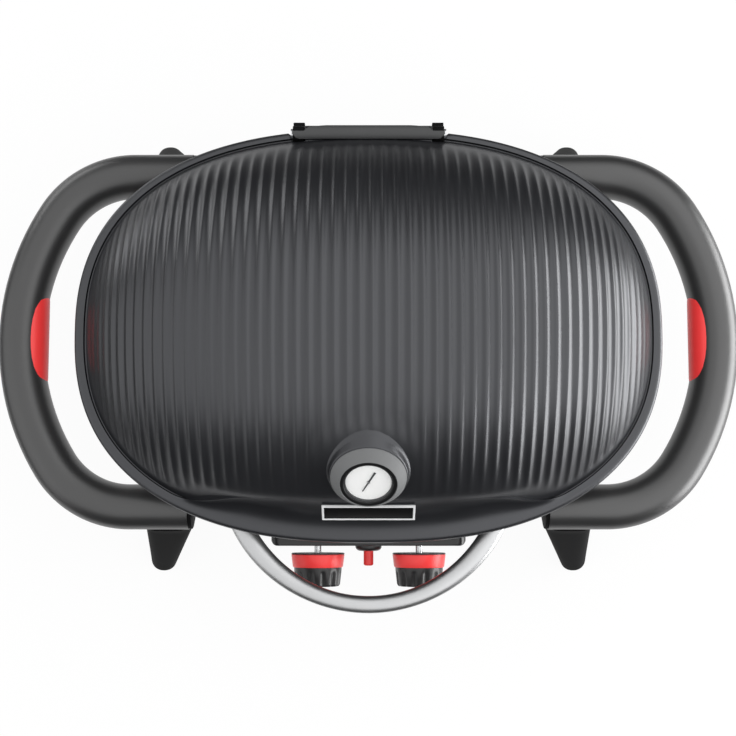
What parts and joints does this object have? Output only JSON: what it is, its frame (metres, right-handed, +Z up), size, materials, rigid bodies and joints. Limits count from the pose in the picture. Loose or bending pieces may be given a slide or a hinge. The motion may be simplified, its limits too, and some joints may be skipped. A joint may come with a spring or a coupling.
{
  "type": "tabletop gas grill",
  "caption": "Tabletop gas grill with a fluted domed lid on a rear hinge, tubular side handles on splayed legs, turning burner knobs, a push igniter and a slide-out drip tray.",
  "frame": {"origin": "on the table, under the middle of the overall width and depth", "axes": "+X to the cook's right, +Y away from the cook, +Z up"},
  "size_m": [0.73, 0.498, 0.3298],
  "materials": {
    "lid_cast": "satin charcoal powder coat on cast aluminium",
    "base_cast": "satin black powder coat on cast aluminium",
    "handle_black": "satin black",
    "red_plastic": "gloss red",
    "control_black": "fine-grained black",
    "panel_black": "satin dark grey paint",
    "foot_rubber": "matte",
    "handle_silver": "polished silver",
    "steel": "plain steel",
    "brass": "plain brass",
    "grate_iron": "enamelled cast iron",
    "electrode_ceramic": "white ceramic",
    "bezel_grey": "satin grey",
    "gauge_black": "black",
    "plate_black": "black field in a bright border",
    "dial_white": "white enamel",
    "lens_glass": "clear"
  },
  "bodies": {
    "base": {"base_bowl": "base_cast", "left_side_handle": "handle_black", "right_side_handle": "handle_black", "left_grip_inlay": "red_plastic", "right_grip_inlay": "red_plastic", "front_left_leg": "handle_black", "front_right_leg": "handle_black", "rear_left_leg": "handle_black", "rear_right_leg": "handle_black", "front_left_foot": "foot_rubber", "front_right_foot": "foot_rubber", "rear_left_foot": "foot_rubber", "rear_right_foot": "foot_rubber", "handle_bolts": "steel", "control_panel": "panel_black", "panel_screws": "steel", "gas_manifold": "steel", "gas_inlet": "brass", "left_valve": "brass", "right_valve": "brass", "left_burner": "steel", "right_burner": "steel", "left_electrode": "electrode_ceramic", "right_electrode": "electrode_ceramic", "igniter_housing": "control_black", "left_grate": "grate_iron", "right_grate": "grate_iron", "hinge_bracket": "panel_black", "hinge_pins": "steel", "bracket_screws": "steel", "left_tray_rail": "steel", "right_tray_rail": "steel", "rail_screws": "steel", "rim_stops": "foot_rubber"},
    "lid": {"lid_shell": "lid_cast", "hinge_cover": "lid_cast", "cover_screws": "steel", "lid_handle": "handle_silver", "left_handle_mount": "handle_black", "right_handle_mount": "handle_black", "handle_screws": "steel", "thermometer_bezel": "bezel_grey", "thermometer_case": "gauge_black", "thermometer_dial": "dial_white", "thermometer_lens": "lens_glass", "thermometer_stem": "steel", "thermometer_nut": "steel", "nameplate": "plate_black"},
    "needle": {"thermometer_needle": "gauge_black"},
    "left_stem": {"left_valve_stem": "handle_silver"},
    "left_knob": {"left_knob_ring": "red_plastic", "left_knob_grip": "control_black"},
    "right_stem": {"right_valve_stem": "handle_silver"},
    "right_knob": {"right_knob_ring": "red_plastic", "right_knob_grip": "control_black"},
    "igniter_button": {"igniter_button": "red_plastic"},
    "drip_tray": {"drip_tray": "steel"}
  },
  "joints": [
    {"name": "lid_hinge", "type": "hinge", "parent": "base", "child": "lid", "pos_m": [0, 0.2085, 0.2048], "axis": [-1, 0, 0], "range_deg": [0, 85]},
    {"name": "needle_turn", "type": "hinge", "parent": "lid", "child": "needle", "pos_m": [0, -0.12709, 0.28728], "axis": [0, -0.6756, 0.7373], "range_deg": [-120, 120]},
    {"name": "igniter_push", "type": "slide", "parent": "base", "child": "igniter_button", "axis": [0, 1, 0], "range_m": [0, 0.008], "stiffness_N_per_m": 600},
    {"name": "tray_slide", "type": "slide", "parent": "base", "child": "drip_tray", "axis": [0, -1, 0], "range_m": [0, 0.12]},
    {"name": "left_knob_push", "type": "slide", "parent": "base", "child": "left_stem", "axis": [0, 1, 0], "range_m": [0, 0.004], "stiffness_N_per_m": 900},
    {"name": "left_knob_turn", "type": "hinge", "parent": "left_stem", "child": "left_knob", "pos_m": [-0.0498, -0.205, 0.128], "axis": [0, -1, 0], "range_deg": [0, 180]},
    {"name": "right_knob_push", "type": "slide", "parent": "base", "child": "right_stem", "axis": [0, 1, 0], "range_m": [0, 0.004], "stiffness_N_per_m": 900},
    {"name": "right_knob_turn", "type": "hinge", "parent": "right_stem", "child": "right_knob", "pos_m": [0.0498, -0.205, 0.128], "axis": [0, -1, 0], "range_deg": [0, 180]}
  ]
}
